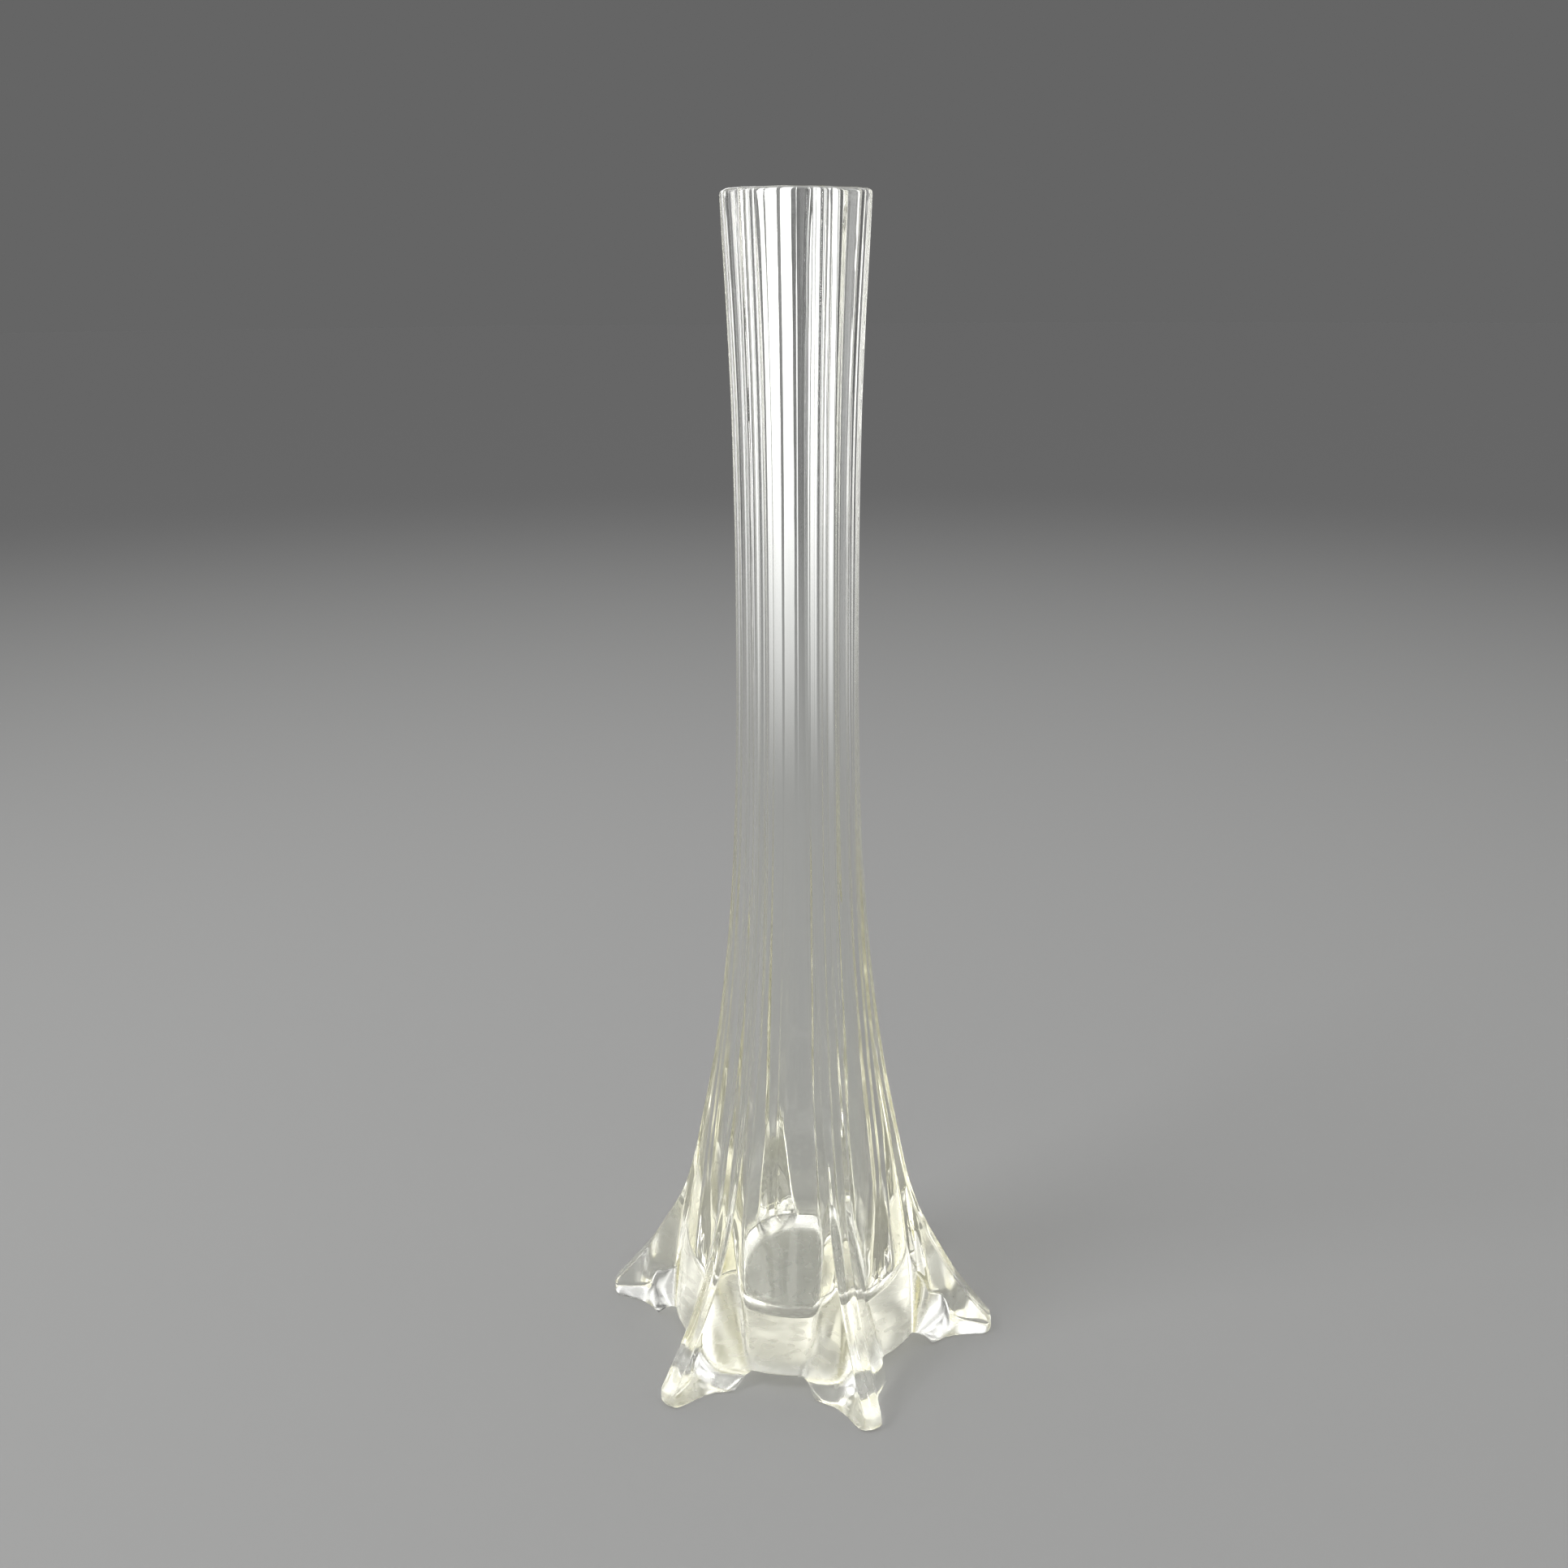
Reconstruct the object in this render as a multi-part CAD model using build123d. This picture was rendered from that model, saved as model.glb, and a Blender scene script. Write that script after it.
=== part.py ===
from build123d import *
import os
from math import cos, hypot, radians, sin

# Clear pressed-glass bud vase, in millimetres, +Z up.
# Origin: middle of the surface that the vase stands on. Foot 1 points along +X.
# The vase is one moulding. Its named regions meet face to face on flat planes.

height = 305.0
foot_count = 6
foot_pitch = 360.0 / foot_count

# Six narrow pilasters run from the rim down into the crests of the six feet.
# Each pilaster carries two fine ridges with a shallow groove between them.
ridge_half_width = 2.4
groove_depth = 0.6

# Levels where one named region ends and the next begins.
block_top = 46.0
stem_top = 165.0
rim_bottom = 296.0

# Crest of the pilasters above the feet: height and radius of the ridges.
crest_levels = [46.0, 62.0, 83.0, 105.0, 126.0, 146.0, 165.0, 190.0, 220.0, 250.0, 276.0, 296.0, 305.0]
crest_radii = [30.6, 27.2, 23.2, 20.2, 18.1, 16.8, 16.1, 15.6, 15.45, 15.75, 16.6, 17.55, 17.9]

# How far the smooth panels between the pilasters lie below the ridges.
panel_drop_levels = [46.0, 62.0, 105.0, 165.0, 276.0, 296.0, 305.0]
panel_drops = [1.7, 1.2, 0.9, 0.7, 0.7, 0.65, 0.5]

# Half width of a pilaster at the bottom of its sides.
pilaster_levels = [46.0, 105.0, 165.0, 305.0]
pilaster_half_widths = [4.5, 4.3, 4.1, 4.1]

# Crest of a foot: distance out from the axis and height, from inside the body to the nose.
foot_crest_out = [27.2, 30.6, 34.5, 37.2, 40.5, 43.8, 47.0, 50.2, 53.4, 55.1]
foot_crest_height = [62.0, 46.0, 34.7, 29.3, 23.6, 18.0, 13.7, 9.7, 5.8, 3.8]
nose_height = 3.8
tip_radius = 55.4

# Levels of the sections that shape the feet above the nose.
foot_levels = [3.8, 9.0, 15.0, 22.0, 30.0, 38.0, 46.0]

# Where each section takes a point along a foot's side, as shares of the way from body to crest.
foot_side_shares = [0.985, 0.8, 0.46, 0.33, 0.0]

# Print of a foot on the ground: distance out from the axis and half width.
print_out = [33.0, 40.0, 42.7, 49.9, 52.0, 54.4, 55.4]
print_half_width = [13.0, 10.9, 7.1, 4.2, 3.8, 3.0, 1.7]

# Smooth panels between the feet, from the lower edge of the base block up.
panel_low_levels = [0.0, 4.0, 15.0, 30.0, 46.0]
panel_low_radii = [36.2, 36.0, 34.4, 31.8, 28.9]

# Underside: the block stands clear of the ground inside the six foot pads, slightly domed.
recess_height = 4.0
recess_radius = 41.0
recess_top_radius = 36.0
recess_dome = 0.8

# The well: a wide bowl-shaped floor, narrowing to a slim neck and opening into a flared mouth.
well_floor = 12.0
well_floor_radius = 15.5
well_levels = [20.0, 40.0, 60.0, 90.0, 120.0, 160.0, 200.0, 232.0, 262.0, 285.0, 305.0]
well_radii = [21.3, 20.8, 19.3, 16.6, 14.7, 13.5, 13.1, 13.1, 13.6, 14.5, 15.4]
rim_outer_round = 1.0
rim_inner_round = 0.8

# Flat faces of this hexagonal prism part the solid base block from the feet.
block_apothem = 31.5

# How far the cutting shapes reach past the faces that they cut.
cut_margin = 1.0
blank_margin = 0.1


def between(value, levels, values):
    """Straight-line interpolation in a short list of levels."""
    if value <= levels[0]:
        return values[0]
    for low, high, first, last in zip(levels, levels[1:], values, values[1:]):
        if value <= high:
            return first + (last - first) * (value - low) / (high - low)
    return values[-1]


def placed(out, side, foot):
    """A point given along and across one foot's own axis, in the vase's frame."""
    turn = radians(foot * foot_pitch)
    return (out * cos(turn) - side * sin(turn), out * sin(turn) + side * cos(turn))


def outline(half_foot, panel_radius, level):
    """Closed section at one level, from one half of a foot's outline, middle first."""
    edges = []
    for foot in range(foot_count):
        left = [placed(out, -side, foot) for out, side in reversed(half_foot[1:])]
        right = [placed(out, side, foot) for out, side in half_foot]
        points = left + right
        for start, end in zip(points, points[1:]):
            edges.append(Line(start, end))
        out, side = half_foot[-1]
        panel_turn = radians((foot + 0.5) * foot_pitch)
        panel_middle = (panel_radius * cos(panel_turn), panel_radius * sin(panel_turn))
        next_start = placed(out, -side, foot + 1)
        edges.append(ThreePointArc(points[-1], panel_middle, next_start))
    face = make_face(edges)
    return Pos(0, 0, level) * face


def column_section(level):
    """Section above the feet: ridges, groove, pilaster sides and round panels."""
    crest = between(level, crest_levels, crest_radii)
    panel = crest - between(level, panel_drop_levels, panel_drops)
    pilaster = between(level, pilaster_levels, pilaster_half_widths)
    ridge_out = (crest**2 - ridge_half_width**2) ** 0.5
    foot_out = (panel**2 - pilaster**2) ** 0.5
    half = [(ridge_out - groove_depth, 0.0), (ridge_out, ridge_half_width), (foot_out, pilaster)]
    return outline(half, panel, level)


def crest_out(level):
    """Distance out from the axis where a foot's crest is at this level."""
    if level <= nose_height:
        return between(level, [0.0, nose_height], [tip_radius, foot_crest_out[-1]])
    return between(level, foot_crest_height[::-1], foot_crest_out[::-1])


def flank(out, level):
    """Half width of a foot at this distance out and level: its sides slope to the print."""
    crest = between(out, foot_crest_out, foot_crest_height)
    wide = between(out, print_out, print_half_width)
    top = min(ridge_half_width, wide)
    return top + (wide - top) * max(0.0, 1.0 - level / crest)


def foot_root(panel, level):
    """Distance out along a foot's axis where its side meets the round panel, found by halving."""
    near, far = 0.0, panel
    for _ in range(40):
        middle = (near + far) / 2
        if hypot(middle, flank(middle, level)) < panel:
            near = middle
        else:
            far = middle
    return near


def foot_section(level):
    """Section through the base: six feet and the round panels between them."""
    panel = between(level, panel_low_levels, panel_low_radii)
    crest = crest_out(level)
    inner = foot_root(panel, level)
    groove = groove_depth if level > nose_height else 0.0
    half = [(crest - groove, 0.0)]
    for share in foot_side_shares:
        out = inner + (crest - inner) * share
        half.append((out, flank(out, level)))
    return outline(half, panel, level)


def well_cutter():
    """The air inside: bowl-shaped floor, slim neck and flared mouth."""
    lip = rim_inner_round
    with BuildSketch(Plane.XZ) as sketch:
        with BuildLine():
            Line((0, well_floor), (well_floor_radius, well_floor))
            wall = [(radius, level) for radius, level in zip(well_radii, well_levels)]
            wall[-1] = (well_radii[-1], height - lip)
            Spline((well_floor_radius, well_floor), wall[0], tangents=[(1, 0), (0, 1)])
            Spline(*wall, tangents=[(0, 1), (0.05, 1)])
            RadiusArc(wall[-1], (well_radii[-1] + lip, height), lip)
            Line((well_radii[-1] + lip, height), (well_radii[-1] + lip, height + cut_margin))
            Line((well_radii[-1] + lip, height + cut_margin), (0, height + cut_margin))
            Line((0, height + cut_margin), (0, well_floor))
        make_face()
    return revolve(sketch.sketch, Axis.Z)


def rim_envelope():
    """A turned blank whose upper outer edge is rounded, for the fire-polished rim."""
    edge = crest_radii[-1] + blank_margin
    flat = edge - rim_outer_round
    low = rim_bottom - cut_margin
    with BuildSketch(Plane.XZ) as sketch:
        with BuildLine():
            Line((0, low), (edge, low))
            Line((edge, low), (edge, height - rim_outer_round))
            RadiusArc((edge, height - rim_outer_round), (flat, height), -rim_outer_round)
            Line((flat, height), (0, height))
            Line((0, height), (0, low))
        make_face()
    return revolve(sketch.sketch, Axis.Z)


def recess_cutter():
    """Raised underside of the block, arching up behind the foot pads."""
    with BuildSketch(Plane.XZ) as sketch:
        with BuildLine():
            Polyline((0, -cut_margin), (recess_radius, -cut_margin), (recess_radius, 0))
            Spline(
                (recess_radius, 0),
                (recess_top_radius, recess_height),
                tangents=[(0, 1), (-1, 0)],
            )
            Polyline(
                (recess_top_radius, recess_height),
                (0, recess_height + recess_dome),
                (0, -cut_margin),
            )
        make_face()
    return revolve(sketch.sketch, Axis.Z)


def levels_from(low, high):
    """The listed crest levels from low to high."""
    return [level for level in crest_levels if low <= level <= high]


def main():
    air = well_cutter()
    nose = loft([foot_section(0.0), foot_section(nose_height)], ruled=True)
    flare = loft([foot_section(level) for level in foot_levels], ruled=True)
    base = nose + flare - recess_cutter() - air
    prism = extrude(
        RegularPolygon(block_apothem, foot_count, major_radius=False, rotation=foot_pitch / 2),
        block_top,
    )
    nodes = {"base_block": base & prism}
    feet = (base - prism).solids()
    for foot in range(foot_count):
        place = Vector(*placed(tip_radius, 0.0, foot), 0.0)
        nodes[f"foot_{foot + 1}"] = min(feet, key=lambda solid: (solid.center() - place).length)
    stem = loft([column_section(level) for level in levels_from(block_top, stem_top)])
    neck = loft([column_section(level) for level in levels_from(stem_top, rim_bottom)])
    rim = loft([column_section(level) for level in levels_from(rim_bottom, height)], ruled=True)
    nodes["stem"] = stem - air
    nodes["neck"] = neck - air
    nodes["rim"] = (rim & rim_envelope()) - air
    os.makedirs("parts", exist_ok=True)
    for name, shape in nodes.items():
        export_step(shape, f"parts/{name}.step")
        print(name, round(shape.volume, 1), len(shape.solids()), shape.is_valid)


main()
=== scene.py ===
from math import atan2, cos, hypot, pi, radians, sin

import bpy
import numpy as np
from mathutils import Matrix, Vector


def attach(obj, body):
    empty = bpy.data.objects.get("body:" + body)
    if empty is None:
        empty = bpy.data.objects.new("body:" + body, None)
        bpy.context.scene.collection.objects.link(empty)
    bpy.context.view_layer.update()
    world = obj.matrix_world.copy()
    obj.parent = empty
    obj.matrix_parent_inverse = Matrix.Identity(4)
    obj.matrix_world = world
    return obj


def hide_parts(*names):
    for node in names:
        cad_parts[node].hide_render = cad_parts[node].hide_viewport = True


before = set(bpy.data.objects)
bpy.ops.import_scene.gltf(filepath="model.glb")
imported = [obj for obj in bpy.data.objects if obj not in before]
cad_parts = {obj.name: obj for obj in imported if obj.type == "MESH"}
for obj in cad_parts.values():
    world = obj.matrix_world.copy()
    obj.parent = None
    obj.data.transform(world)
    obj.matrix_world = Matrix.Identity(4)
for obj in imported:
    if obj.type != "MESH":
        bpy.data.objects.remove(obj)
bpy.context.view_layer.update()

MM = 0.001
FOOT_COUNT = 6
FOOT_PITCH = 2.0 * pi / FOOT_COUNT

# The vase's shape in millimetres, close to the CAD model's. CREST, PANEL and WELL pair a level with
# a radius. PRINT pairs a distance out with the half width of a foot on the ground.
HEIGHT = 305.0
BLOCK_TOP = 46.0
FOOT_CREST_TOP = 150.0
CREST = [
    (3.8, 55.1), (5.8, 53.4), (9.7, 50.2), (13.7, 47.0), (18.0, 43.8), (23.6, 40.5), (29.3, 37.2),
    (34.7, 34.5), (46.0, 30.6), (62.0, 27.2), (83.0, 23.2), (105.0, 20.2), (126.0, 18.1),
    (146.0, 16.8), (165.0, 16.1), (190.0, 15.6), (220.0, 15.45), (250.0, 15.75), (276.0, 16.6),
    (296.0, 17.55), (305.0, 17.9),
]
PANEL = [
    (0.0, 36.2), (4.0, 36.0), (15.0, 34.4), (30.0, 31.8), (46.0, 28.9), (62.0, 26.0), (83.0, 22.15),
    (105.0, 19.3), (126.0, 17.25), (146.0, 16.0), (165.0, 15.4), (190.0, 14.9), (220.0, 14.75),
    (250.0, 15.05), (276.0, 15.9), (296.0, 16.9), (305.0, 17.4),
]
PRINT = [
    (33.0, 13.0), (36.5, 12.2), (40.0, 10.9), (42.7, 7.1), (46.0, 5.4), (49.9, 4.2), (52.0, 3.8),
    (54.4, 3.0), (55.4, 1.7),
]
NOSE_HEIGHT = 3.8
NOSE_INSET = 0.35
TIP_RADIUS = 55.4
RIDGE_HALF_WIDTH = 2.4
GROOVE_DEPTH = 0.65
GROOVE_FADE = 12.0
# Pairs of level and half width.
PILASTER_HALF_WIDTH = [(46.0, 4.5), (105.0, 4.3), (165.0, 4.1), (305.0, 4.1)]
WELL = [
    (20.0, 21.3), (40.0, 20.8), (60.0, 19.3), (90.0, 16.6), (120.0, 14.7), (160.0, 13.5),
    (200.0, 13.1), (232.0, 13.1), (262.0, 13.6), (285.0, 14.5), (305.0, 15.4),
]
WELL_FLOOR = 12.0
WELL_FLOOR_RADIUS = 15.5
RIM_OUTER_ROUND = 1.0
RIM_INNER_ROUND = 0.8
RECESS_RADIUS = 41.0
RECESS_TOP_RADIUS = 36.0
RECESS_HEIGHT = 4.0
RECESS_DOME = 0.8

# Marks of hand work: fine upright lines, one lump on a foot and an uneven lip. Sizes and levels are
# in millimetres. Each wave of the lip has its count round the ring, its height and its start.
STRIATIONS = 14
STRIATION_DEPTH = 0.022
STRIATION_START = 30.0
STRIATION_RISE = 50.0
STRIATION_WAVES = (24, 86)
STRIATION_DRIFT = 0.006
LUMP_OUT = 35.5
LUMP_HEIGHT = 0.8
LUMP_SPREAD = 1.3
LUMP_PUSH = (0.75, 0.0, 0.65)
LIP_WAVES = [(2, 0.09, 0.6), (5, 0.05, 2.1), (11, 0.03, 0.0)]

# How finely the mesh follows the shape. Outline steps are for half a foot. Levels, rounds and drops
# are in millimetres. A crowding above 1 sets the points closer together at one end.
GROOVE_STEPS = 7
GROOVE_CROWDING = 1.3
FLANK_STEPS = 14
FLANK_CROWDING = 1.4
PANEL_STEPS = 10
EDGE_LEVELS = [0.0, 0.15, 0.4, 0.8, 1.4, 2.1, 2.8, 3.4, 3.8, 4.2, 4.7, 5.3, 6.0, 7.0, 8.0]
EDGE_ROUND = 0.5
EDGE_ROUND_HEIGHT = 0.8
FIRST_BLOCK_LEVEL = 9.0
BLOCK_LEVEL_STEP = 0.95
COLUMN_LEVEL_STEP = 2.4
RIM_OUTER_STEPS = 6
RIM_INNER_STEPS = 5
WELL_TOP_DROP = 2.5
WELL_LEVEL_STEP = 5.0
WELL_BOWL_STEPS = 10
WELL_FLOOR_STEPS = 6
UNDER_EDGE_STEPS = 4
UNDER_MIDDLE_STEPS = 10
UNDER_EDGE_PULL = 0.4
UNDER_INSET = 0.2
CORNER_SEARCH_START = 20.0
CORNER_SEARCH_STEPS = 40
OWN_SHARE = 0.4
ACROSS_SHARE = 0.35
ALONG_SHARE = 0.25

# The glass. Distances in the material are in metres.
GLASS_IOR = 1.52
UNDERSIDE_ROUGHNESS = 0.26
FILM_ROUGHNESS = 0.02
CLOUD_SCALE = 260.0
FILM_SCALE = 45.0
WAVE_SCALE = 70.0
WAVE_STRENGTH = 0.25
WAVE_HEIGHT = 0.0002
TINT_DENSITY = 20.0

# The studio. Places and sizes are in metres. Panels and strips stand round the vase and are turned
# towards it. LAMP_FADE is the share of their height over which they fade out downwards.
FLOOR_RADIUS = 12.0
FLOOR_LEVEL = -0.0003
FLOOR_CORNERS = 96
PANEL_COUNT = 8
PANEL_DISTANCES = (0.42, 0.52)
PANEL_SIZE = (0.17, 0.64)
PANEL_RADIANCE = 1.4
STRIPS = [("left_strip", (-0.40, -0.50, 0.40)), ("right_strip", (0.52, -0.42, 0.40))]
STRIP_TARGET = (0, 0, 0.1)
STRIP_SIZE = (0.016, 0.8)
STRIP_RADIANCE = 16.0
LAMP_FADE = 0.4
KEY_PLACE = (-0.75, -0.55, 1.15)
KEY_TARGET = (0, 0, 0.05)
KEY_SIZE = (0.5, 0.5)
KEY_RADIANCE = 7.0
LIGHT_BOUNCES = 64


def curve_through(points):
    """A smooth curve through a short list of points that never overshoots them."""
    x = np.array([p[0] for p in points])
    y = np.array([p[1] for p in points])
    run = np.diff(x)
    slope = np.diff(y) / run
    tangent = np.zeros(len(x))
    for i in range(1, len(x) - 1):
        if slope[i - 1] * slope[i] > 0:
            near, far = 2 * run[i] + run[i - 1], run[i] + 2 * run[i - 1]
            tangent[i] = (near + far) / (near / slope[i - 1] + far / slope[i])
    tangent[0], tangent[-1] = slope[0], slope[-1]

    def value(at):
        at = np.clip(at, x[0], x[-1])
        i = np.clip(np.searchsorted(x, at, side="right") - 1, 0, len(run) - 1)
        t = (at - x[i]) / run[i]
        rise = (2 * t**3 - 3 * t**2 + 1) * y[i] + (3 * t**2 - 2 * t**3) * y[i + 1]
        lean = (t**3 - 2 * t**2 + t) * tangent[i] + (t**3 - t**2) * tangent[i + 1]
        return rise + lean * run[i]

    return value


crest_at = curve_through(CREST)
panel_at = curve_through(PANEL)
print_at = curve_through(PRINT)
well_at = curve_through(WELL)
pilaster_at = curve_through(PILASTER_HALF_WIDTH)
FOOT_CREST = sorted((out, level) for level, out in CREST if level < FOOT_CREST_TOP)
crest_height_at = curve_through(FOOT_CREST)


def crest_radius(level):
    """How far out a foot's crest or a pilaster's ridges stand at this level."""
    if level >= NOSE_HEIGHT:
        return float(crest_at(level))
    return TIP_RADIUS - (TIP_RADIUS - CREST[0][1]) * (level / NOSE_HEIGHT) ** 2


def flank(out, level):
    """Half width of a foot at this distance out and level."""
    wide = float(print_at(out))
    top = min(RIDGE_HALF_WIDTH, wide)
    crest = max(float(crest_height_at(out)), NOSE_HEIGHT)
    return top + (wide - top) * max(0.0, 1.0 - level / crest)


def half_outline(level):
    """One half of a foot's outline with its half panel, along and across the foot's axis."""
    crest = crest_radius(level)
    panel = float(panel_at(level))
    if level < BLOCK_TOP:
        inner, outer = CORNER_SEARCH_START, panel
        for _ in range(CORNER_SEARCH_STEPS):
            middle = (inner + outer) / 2
            if hypot(middle, flank(middle, level)) < panel:
                inner = middle
            else:
                outer = middle
        corner = (inner, flank(inner, level))
    else:
        half = float(pilaster_at(level))
        corner = ((panel**2 - half**2) ** 0.5, half)
    top = min(RIDGE_HALF_WIDTH, flank(crest, level)) if level < BLOCK_TOP else RIDGE_HALF_WIDTH
    ridge_out = (crest**2 - top**2) ** 0.5 if level > NOSE_HEIGHT else crest - NOSE_INSET
    groove = GROOVE_DEPTH * min(1.0, max(0.0, (level - NOSE_HEIGHT) / GROOVE_FADE))
    points = []
    for k in range(GROOVE_STEPS):
        share = 1.0 - (1.0 - k / GROOVE_STEPS) ** GROOVE_CROWDING
        crown = ridge_out + (crest - ridge_out) * (1 - share**2)
        points.append((crown - groove * (1 - share**2) ** 2, top * share))
    for k in range(FLANK_STEPS):
        share = (k / FLANK_STEPS) ** FLANK_CROWDING
        out = ridge_out + (corner[0] - ridge_out) * share
        if level < BLOCK_TOP:
            across = flank(out, level)
        else:
            across = top + (corner[1] - top) * share
        points.append((out, across))
    start = atan2(corner[1], corner[0])
    for k in range(PANEL_STEPS + 1):
        turn = start + (FOOT_PITCH / 2 - start) * k / PANEL_STEPS
        points.append((panel * cos(turn), panel * sin(turn)))
    return points


def full_outline(level):
    """The whole outline at one level: every foot with the half panels beside it."""
    half = half_outline(level)
    ring = []
    for foot in range(FOOT_COUNT):
        c, s = cos(foot * FOOT_PITCH), sin(foot * FOOT_PITCH)
        for out, across in [(o, -a) for o, a in reversed(half[1:-1])] + half:
            ring.append((out * c - across * s, out * s + across * c))
    return np.array(ring)


def recess_level(radius):
    """Height of the raised underside at this distance from the axis."""
    if radius >= RECESS_RADIUS:
        return 0.0
    if radius >= RECESS_TOP_RADIUS:
        share = (radius - RECESS_TOP_RADIUS) / (RECESS_RADIUS - RECESS_TOP_RADIUS)
        return RECESS_HEIGHT * (1.0 - share**2) ** 0.5
    return RECESS_HEIGHT + RECESS_DOME * (1 - (radius / RECESS_TOP_RADIUS) ** 2)


def outer_rows():
    """Rings of the outer surface from the lower edge up to the start of the rim's rounding."""
    low = np.array(EDGE_LEVELS)
    blend_top = low[-1]
    rings = np.stack([full_outline(level) for level in low])
    fine = np.linspace(0.0, RECESS_HEIGHT, 41)
    fine_rings = np.stack([full_outline(level) for level in fine])
    fine_radius = np.hypot(fine_rings[..., 0], fine_rings[..., 1])
    columns = rings.shape[1]
    start = np.zeros(columns)
    for k in range(columns):
        above = [z for z, r in zip(fine, fine_radius[:, k]) if z >= recess_level(r) - 1e-6]
        start[k] = above[0] if above else RECESS_HEIGHT
    rows = []
    for level in low:
        z = start + level * (blend_top - start) / blend_top
        ring = np.zeros((columns, 3))
        for k in range(columns):
            ring[k, 0] = np.interp(z[k], low, rings[:, k, 0])
            ring[k, 1] = np.interp(z[k], low, rings[:, k, 1])
        ring[:, 2] = z
        ease = EDGE_ROUND * max(0.0, 1.0 - level / EDGE_ROUND_HEIGHT) ** 2
        radius = np.hypot(ring[:, 0], ring[:, 1])
        ring[:, :2] *= ((radius - ease) / radius)[:, None]
        rows.append(ring)
    top = HEIGHT - RIM_OUTER_ROUND
    levels = list(np.arange(FIRST_BLOCK_LEVEL, BLOCK_TOP, BLOCK_LEVEL_STEP))
    levels += list(np.arange(BLOCK_TOP, top, COLUMN_LEVEL_STEP)) + [top]
    for level in levels:
        flat = full_outline(level)
        rows.append(np.column_stack([flat, np.full(columns, level)]))
    return rows


def ring_at(turn, radius, level):
    """One ring of points at these turns. Radius and level are single values or one per point."""
    levels = np.broadcast_to(level, turn.shape)
    return np.column_stack([radius * np.cos(turn), radius * np.sin(turn), levels])


def rim_rows(ring):
    """Rings over the fire-polished lip, from the outer rounding to the inner one."""
    radius = np.hypot(ring[:, 0], ring[:, 1])
    turn = np.arctan2(ring[:, 1], ring[:, 0])
    inner = float(well_at(HEIGHT))
    rows = []
    for k in range(1, RIM_OUTER_STEPS + 1):
        a = k / RIM_OUTER_STEPS * pi / 2
        r = radius - RIM_OUTER_ROUND * (1 - cos(a))
        z = HEIGHT - RIM_OUTER_ROUND * (1 - sin(a))
        rows.append((r, z))
    for k in range(RIM_INNER_STEPS + 1):
        a = (1 - k / RIM_INNER_STEPS) * pi / 2
        r = np.full_like(radius, inner + RIM_INNER_ROUND * (1 - cos(a)))
        z = HEIGHT - RIM_INNER_ROUND * (1 - sin(a))
        rows.append((r, z))
    return [ring_at(turn, r, z) for r, z in rows]


def well_rows(turn):
    """Rings of the well from under the lip down to its floor."""
    rows = []
    bowl_top, bowl_radius = WELL[0]
    levels = list(np.arange(HEIGHT - WELL_TOP_DROP, bowl_top, -WELL_LEVEL_STEP)) + [bowl_top]
    for level in levels:
        rows.append((float(well_at(level)), level))
    for k in range(1, WELL_BOWL_STEPS + 1):
        a = k / WELL_BOWL_STEPS * pi / 2
        r = WELL_FLOOR_RADIUS + (bowl_radius - WELL_FLOOR_RADIUS) * cos(a)
        rows.append((r, bowl_top - (bowl_top - WELL_FLOOR) * sin(a)))
    for k in range(1, WELL_FLOOR_STEPS):
        rows.append((WELL_FLOOR_RADIUS * (1 - k / WELL_FLOOR_STEPS), WELL_FLOOR))
    return [ring_at(turn, r, z) for r, z in rows]


def under_rows(ring):
    """Rings of the underside from just inside the lower edge to near the middle."""
    radius = np.hypot(ring[:, 0], ring[:, 1])
    turn = np.arctan2(ring[:, 1], ring[:, 0])
    pulled_in = radius - (radius - RECESS_TOP_RADIUS) * UNDER_EDGE_PULL
    middle = np.where(radius > RECESS_RADIUS, RECESS_RADIUS, pulled_in)
    inside = RECESS_TOP_RADIUS - UNDER_INSET
    rows = []
    for k in range(1, UNDER_EDGE_STEPS + 1):
        rows.append(radius + (middle - radius) * k / UNDER_EDGE_STEPS)
    for k in range(1, UNDER_EDGE_STEPS + 1):
        rows.append(middle + (inside - middle) * k / UNDER_EDGE_STEPS)
    for k in range(1, UNDER_MIDDLE_STEPS):
        rows.append(np.full_like(radius, inside * (1 - k / UNDER_MIDDLE_STEPS)))
    return [ring_at(turn, r, [recess_level(one) for one in r]) for r in rows]


def smoothed(grid):
    """Rounds every edge of a closed grid a little: each point moves towards its neighbours."""
    across = (np.roll(grid, 1, axis=1) + np.roll(grid, -1, axis=1)) / 2
    along = grid.copy()
    along[1:-1] = (grid[:-2] + grid[2:]) / 2
    return grid * OWN_SHARE + across * ACROSS_SHARE + along * ALONG_SHARE


def grid_mesh(name, grid, low_pole, high_pole):
    """A closed mesh from stacked rings and a point at each end."""
    rows, columns = grid.shape[:2]
    verts = [tuple(p) for p in (grid.reshape(-1, 3) * MM)]
    verts += [tuple(Vector(low_pole) * MM), tuple(Vector(high_pole) * MM)]
    low, high = rows * columns, rows * columns + 1
    faces = []
    for i in range(rows - 1):
        for j in range(columns):
            k = (j + 1) % columns
            near, far = i * columns, (i + 1) * columns
            faces.append((near + j, near + k, far + k, far + j))
    last = (rows - 1) * columns
    for j in range(columns):
        k = (j + 1) % columns
        faces.append((low, k, j))
        faces.append((high, last + j, last + k))
    mesh = bpy.data.meshes.new(name)
    mesh.from_pydata(verts, [], faces)
    mesh.validate()
    mesh.polygons.foreach_set("use_smooth", [True] * len(mesh.polygons))
    return mesh


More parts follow.
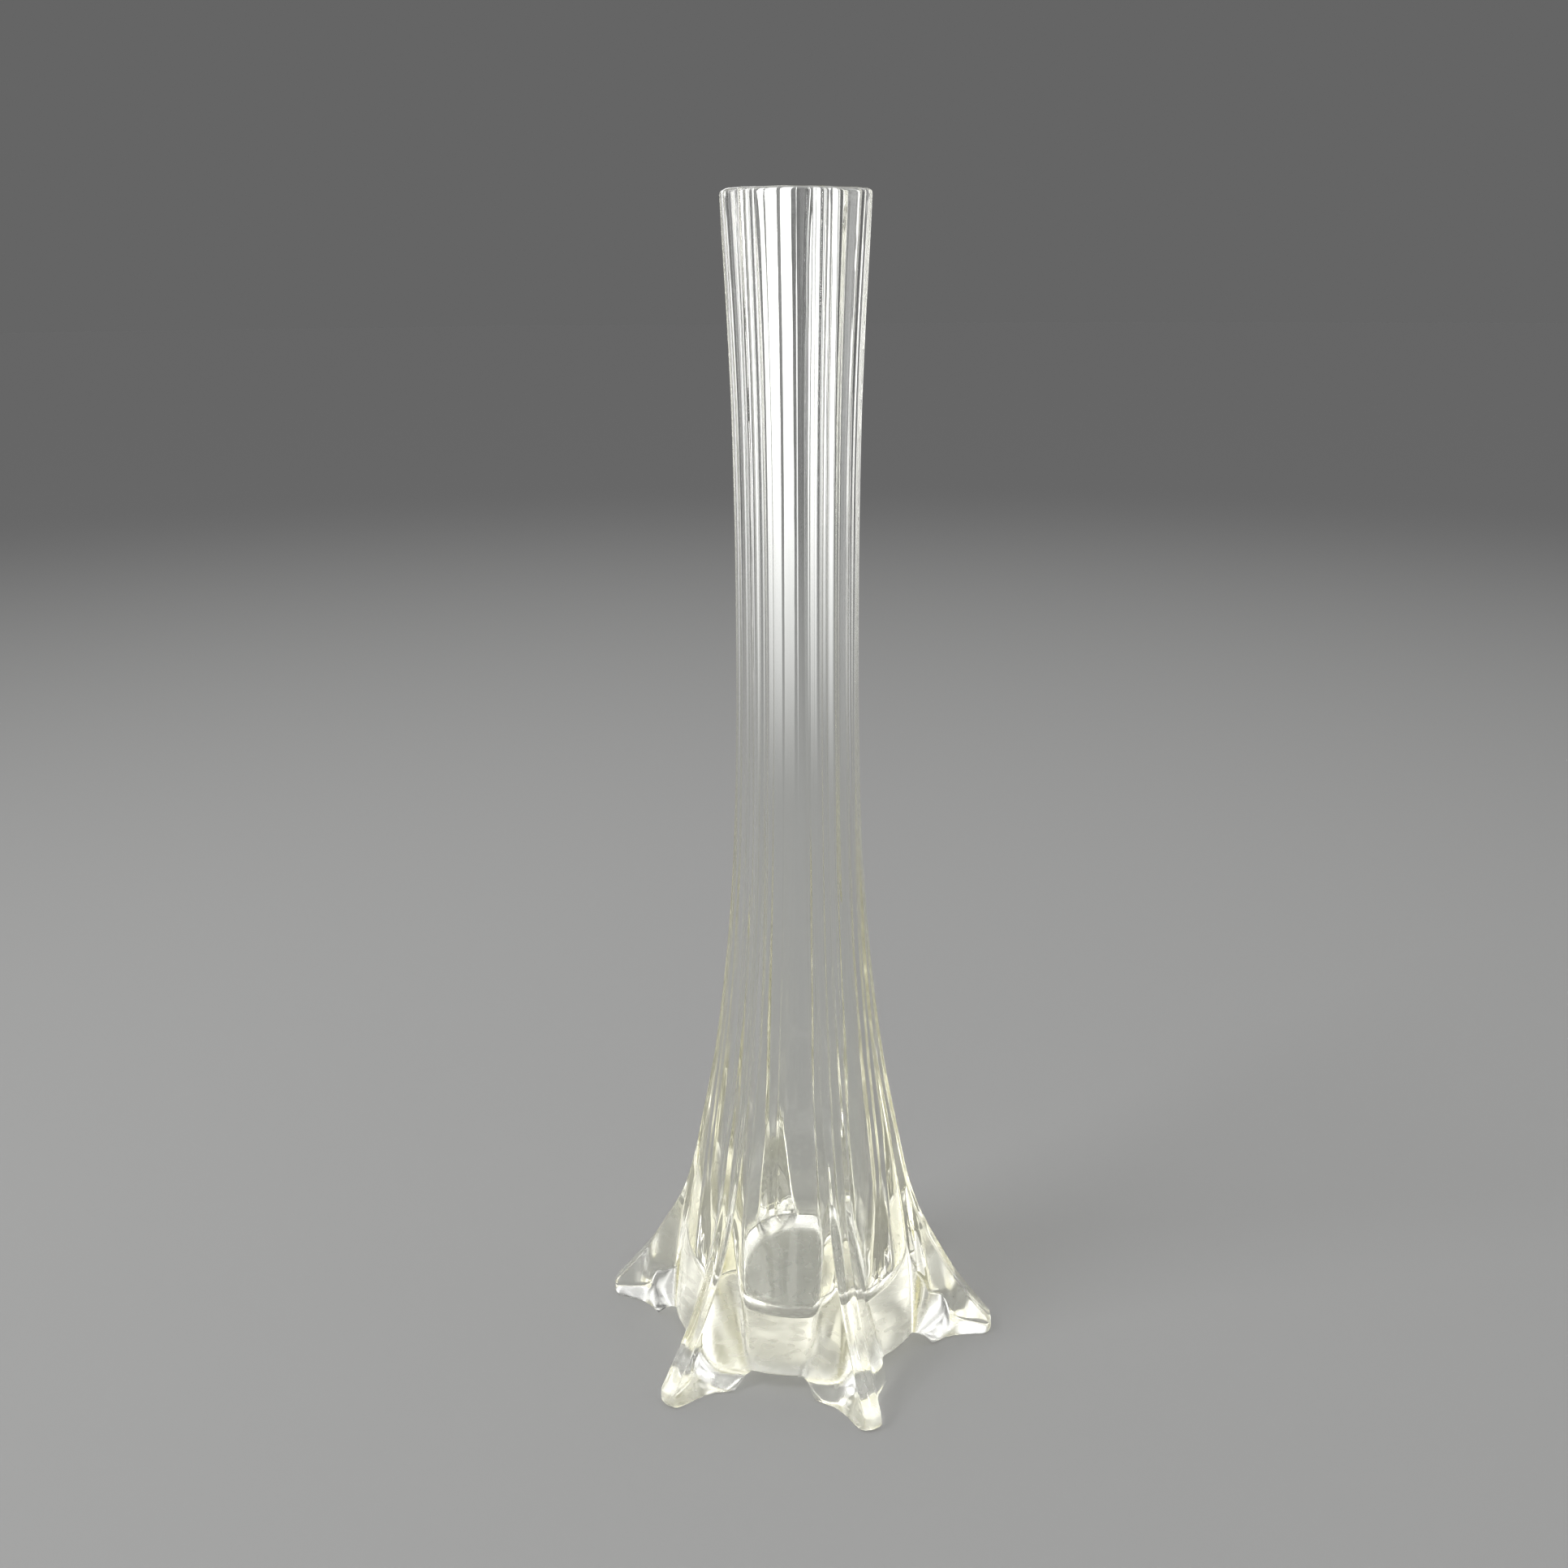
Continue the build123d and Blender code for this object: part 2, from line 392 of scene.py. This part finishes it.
def drawn_lines(rows):
    """Fine upright striations that stay in the glass where it was drawn up out of the mould."""
    draw = np.random.RandomState(7)
    waves = draw.randint(*STRIATION_WAVES, STRIATIONS)
    starts = draw.uniform(0.0, 2.0 * pi, STRIATIONS)
    drifts = draw.uniform(-STRIATION_DRIFT, STRIATION_DRIFT, STRIATIONS)
    for row in rows:
        level = float(row[:, 2].mean())
        rise = min(1.0, max(0.0, (level - STRIATION_START) / STRIATION_RISE))
        turn = np.arctan2(row[:, 1], row[:, 0])
        radius = np.hypot(row[:, 0], row[:, 1])
        phase = waves[:, None] * turn + (starts + drifts * level)[:, None]
        shift = STRIATION_DEPTH * rise * np.sin(phase).sum(axis=0) / STRIATIONS**0.5
        row[:, :2] *= ((radius + shift) / radius)[:, None]


def surface_lump(rows):
    """One small lump of glass left on the crest of the first foot."""
    middle = np.array([LUMP_OUT, 0.0, float(crest_height_at(LUMP_OUT))])
    for row in rows:
        near = np.exp(-((row - middle) ** 2).sum(axis=1) / (2 * LUMP_SPREAD**2))
        row += near[:, None] * np.array(LUMP_PUSH) * LUMP_HEIGHT


def uneven_lip(rows):
    """The lip sags and swells a little round its ring, as fire polishing leaves it."""
    for row in rows:
        turn = np.arctan2(row[:, 1], row[:, 0])
        for count, height, start in LIP_WAVES:
            row[:, 2] += height * np.sin(count * turn + start)


def vase_grid():
    """Every ring of the glass in order: underside, outside, lip and well."""
    outer = outer_rows()
    drawn_lines(outer)
    surface_lump(outer)
    rim = rim_rows(outer[-1])
    uneven_lip(rim)
    turn = np.arctan2(outer[-1][:, 1], outer[-1][:, 0])
    well = well_rows(turn)
    under = under_rows(outer[0])[::-1]
    return np.stack(under + outer + rim + well)


def node_chain(owner):
    """Short helpers for an owner's nodes: a new node, a link, a maths step and a smooth ramp."""
    nodes, links = owner.node_tree.nodes, owner.node_tree.links

    def new(kind, **settings):
        node = nodes.new(kind)
        for name, value in settings.items():
            setattr(node, name, value)
        return node

    def maths(operation, a, b=0.0):
        node = new("ShaderNodeMath", operation=operation)
        for socket, value in zip(node.inputs, (a, b)):
            if isinstance(value, (int, float)):
                socket.default_value = value
            else:
                links.new(value, socket)
        return node.outputs[0]

    def ramp(value, low, high, out_low=0.0, out_high=1.0):
        node = new("ShaderNodeMapRange", interpolation_type="SMOOTHSTEP")
        links.new(value, node.inputs["Value"])
        ends = {"From Min": low, "From Max": high, "To Min": out_low, "To Max": out_high}
        for socket, number in ends.items():
            node.inputs[socket].default_value = number
        return node.outputs["Result"]

    return new, links.new, maths, ramp


def glass_material():
    """Clear pressed glass with a faint straw tint: polished above and cloudy on its underside."""
    material = bpy.data.materials.new("clear_glass")
    material.use_nodes = True
    new, link, maths, ramp = node_chain(material)
    nodes = material.node_tree.nodes
    shader = nodes["Principled BSDF"]
    shader.inputs["Base Color"].default_value = (0.99, 0.995, 0.985, 1.0)
    shader.inputs["IOR"].default_value = GLASS_IOR
    shader.inputs["Transmission Weight"].default_value = 1.0

    place = new("ShaderNodeTexCoord").outputs["Object"]

    def noise(scale, detail):
        node = new("ShaderNodeTexNoise")
        node.inputs["Scale"].default_value = scale
        node.inputs["Detail"].default_value = detail
        link(place, node.inputs["Vector"])
        return node.outputs["Fac"]

    place_xyz = new("ShaderNodeSeparateXYZ")
    link(place, place_xyz.inputs[0])
    normal_xyz = new("ShaderNodeSeparateXYZ")
    link(new("ShaderNodeNewGeometry").outputs["Normal"], normal_xyz.inputs[0])
    low_down = ramp(place_xyz.outputs["Z"], 0.0085, 0.0045)
    level_face = ramp(maths("ABSOLUTE", normal_xyz.outputs["Z"]), 0.35, 0.8)
    x, y = place_xyz.outputs["X"], place_xyz.outputs["Y"]
    radius = maths("SQRT", maths("ADD", maths("MULTIPLY", x, x), maths("MULTIPLY", y, y)))
    clouds = ramp(noise(CLOUD_SCALE, 1.0), 0.36, 0.64, 0.6, 1.15)
    mottled = maths("MAXIMUM", clouds, ramp(radius, 0.011, 0.019, 0.0, 0.88))
    cloudy = maths("MULTIPLY", maths("MULTIPLY", low_down, level_face), mottled)
    film = ramp(noise(FILM_SCALE, 3.0), 0.55, 0.75, 0.0, FILM_ROUGHNESS)
    rough = maths("MULTIPLY", cloudy, UNDERSIDE_ROUGHNESS)
    link(maths("MAXIMUM", rough, film), shader.inputs["Roughness"])

    bump = new("ShaderNodeBump")
    bump.inputs["Strength"].default_value = WAVE_STRENGTH
    bump.inputs["Distance"].default_value = WAVE_HEIGHT
    link(noise(WAVE_SCALE, 2.0), bump.inputs["Height"])
    link(bump.outputs["Normal"], shader.inputs["Normal"])

    # Shadow rays pass straight through the glass and are dimmed where it stands edge on.
    path = new("ShaderNodeLightPath")
    facing = new("ShaderNodeLayerWeight")
    facing.inputs["Blend"].default_value = 0.5
    shade = new("ShaderNodeMix", data_type="RGBA")
    link(facing.outputs["Facing"], shade.inputs["Factor"])
    shade.inputs["A"].default_value = (0.97, 0.97, 0.96, 1.0)
    shade.inputs["B"].default_value = (0.12, 0.12, 0.12, 1.0)
    through = new("ShaderNodeBsdfTransparent")
    link(shade.outputs["Result"], through.inputs["Color"])
    mix = new("ShaderNodeMixShader")
    link(path.outputs["Is Shadow Ray"], mix.inputs["Fac"])
    link(shader.outputs["BSDF"], mix.inputs[1])
    link(through.outputs["BSDF"], mix.inputs[2])
    output = nodes["Material Output"]
    link(mix.outputs["Shader"], output.inputs["Surface"])
    tint = new("ShaderNodeVolumeAbsorption")
    tint.inputs["Color"].default_value = (0.99, 0.98, 0.88, 1.0)
    tint.inputs["Density"].default_value = TINT_DENSITY
    link(tint.outputs["Volume"], output.inputs["Volume"])
    return material


def floor_material():
    """Pale matt table top with a painted pool of light round the vase, fading evenly with distance
    into the grey of the studio.
    """
    material = bpy.data.materials.new("studio_floor")
    material.use_nodes = True
    new, link, _, ramp = node_chain(material)
    shader = material.node_tree.nodes["Principled BSDF"]
    distance = new("ShaderNodeVectorMath", operation="LENGTH")
    link(new("ShaderNodeTexCoord").outputs["Object"], distance.inputs[0])
    # Painted pool of light: the colour is lighter round the vase and darker with distance from it.
    painted_light_pool = new("ShaderNodeMix", data_type="RGBA")
    link(ramp(distance.outputs["Value"], 0.25, 2.0), painted_light_pool.inputs["Factor"])
    painted_light_pool.inputs["A"].default_value = (0.4, 0.4, 0.396, 1.0)
    painted_light_pool.inputs["B"].default_value = (0.19, 0.19, 0.19, 1.0)
    link(painted_light_pool.outputs["Result"], shader.inputs["Base Color"])
    shader.inputs["Roughness"].default_value = 1.0
    shader.inputs["Specular IOR Level"].default_value = 0.0
    return material


def make_camera():
    """The camera that took the photo, as solved from the vase's rim and feet."""
    data = bpy.data.cameras.new("camera")
    camera = bpy.data.objects.new("camera", data)
    bpy.context.collection.objects.link(camera)
    data.sensor_width = 36.0
    data.lens = 36.06
    data.clip_start = 0.01
    turn, pitch, yaw, roll = radians(9.9), radians(17.65), radians(-0.53), radians(-0.36)
    distance, height = 0.390, 0.284
    camera.location = (distance * sin(turn), -distance * cos(turn), height)
    heading = turn - yaw
    view = Matrix.Rotation(heading, 4, "Z") @ Matrix.Rotation(pi / 2 - pitch, 4, "X")
    camera.matrix_world = Matrix.Translation(camera.location) @ view @ Matrix.Rotation(roll, 4, "Z")
    bpy.context.scene.camera = camera


def area_light(name, place, target, size, radiance):
    """A flat soft lamp turned towards its target, hidden from the camera's direct view."""
    data = bpy.data.lights.new(name, "AREA")
    data.shape = "RECTANGLE"
    data.size, data.size_y = size
    data.energy = radiance * pi * size[0] * size[1]
    lamp = bpy.data.objects.new(name, data)
    bpy.context.collection.objects.link(lamp)
    lamp.visible_camera = False
    lamp.location = place
    lamp.rotation_euler = (Vector(target) - Vector(place)).to_track_quat("-Z", "Y").to_euler()
    return lamp


def studio_floor():
    """A wide round floor, a hair below the pads so that light can pass under them."""
    mesh = bpy.data.meshes.new("floor")
    turns = [2.0 * pi * k / FLOOR_CORNERS for k in range(FLOOR_CORNERS)]
    verts = [(FLOOR_RADIUS * cos(turn), FLOOR_RADIUS * sin(turn), FLOOR_LEVEL) for turn in turns]
    mesh.from_pydata(verts, [], [list(range(FLOOR_CORNERS))])
    floor = bpy.data.objects.new("floor", mesh)
    bpy.context.collection.objects.link(floor)
    return floor


def studio_world():
    """Even soft light from overhead, and plain grey all round."""
    world = bpy.data.worlds.new("studio")
    bpy.context.scene.world = world
    world.use_nodes = True
    new, link, _, ramp = node_chain(world)
    heading = new("ShaderNodeSeparateXYZ")
    link(new("ShaderNodeTexCoord").outputs["Generated"], heading.inputs[0])
    background = world.node_tree.nodes["Background"]
    link(ramp(heading.outputs["Z"], 0.35, 0.75, 0.13, 0.95), background.inputs["Strength"])
    background.inputs["Color"].default_value = (1.0, 1.0, 1.0, 1.0)


def reflector_panels(subject):
    """Tall soft panels and thin strips that light only the vase, so its flutes show as bands.

    Each fades out towards its lower end, so the bands end softly in the glass.
    """
    seen_by = bpy.data.collections.new("lit_by_panels")
    seen_by.objects.link(subject)
    lamps = []
    for name, place in STRIPS:
        lamps.append(area_light(name, place, STRIP_TARGET, STRIP_SIZE, STRIP_RADIANCE))
    for k in range(PANEL_COUNT):
        turn = 2.0 * pi * (k + 0.5) / PANEL_COUNT
        distance = PANEL_DISTANCES[k % len(PANEL_DISTANCES)]
        middle = PANEL_SIZE[1] / 2
        place = (distance * cos(turn), distance * sin(turn), middle)
        name = f"panel_{k + 1}"
        lamps.append(area_light(name, place, (0, 0, middle), PANEL_SIZE, PANEL_RADIANCE))
    for lamp in lamps:
        lamp.light_linking.receiver_collection = seen_by
        lamp.data.use_nodes = True
        new, link, _, ramp = node_chain(lamp.data)
        across = new("ShaderNodeSeparateXYZ")
        link(new("ShaderNodeNewGeometry").outputs["Parametric"], across.inputs[0])
        glow = lamp.data.node_tree.nodes["Emission"]
        link(ramp(across.outputs["Y"], 0.0, LAMP_FADE), glow.inputs["Strength"])


make_camera()
grid = smoothed(vase_grid())
low_pole = (0.0, 0.0, recess_level(0.0))
high_pole = (0.0, 0.0, WELL_FLOOR)
vase = bpy.data.objects.new("vase_glass", grid_mesh("vase_glass", grid, low_pole, high_pole))
bpy.context.collection.objects.link(vase)
vase.data.materials.append(glass_material())
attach(vase, "root")
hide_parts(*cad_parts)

floor = studio_floor()
floor.data.materials.append(floor_material())

area_light("key", KEY_PLACE, KEY_TARGET, KEY_SIZE, KEY_RADIANCE)
reflector_panels(vase)
studio_world()

scene = bpy.context.scene
scene.view_settings.view_transform = "Standard"
scene.cycles.max_bounces = LIGHT_BOUNCES
scene.cycles.transmission_bounces = LIGHT_BOUNCES
scene.cycles.glossy_bounces = LIGHT_BOUNCES
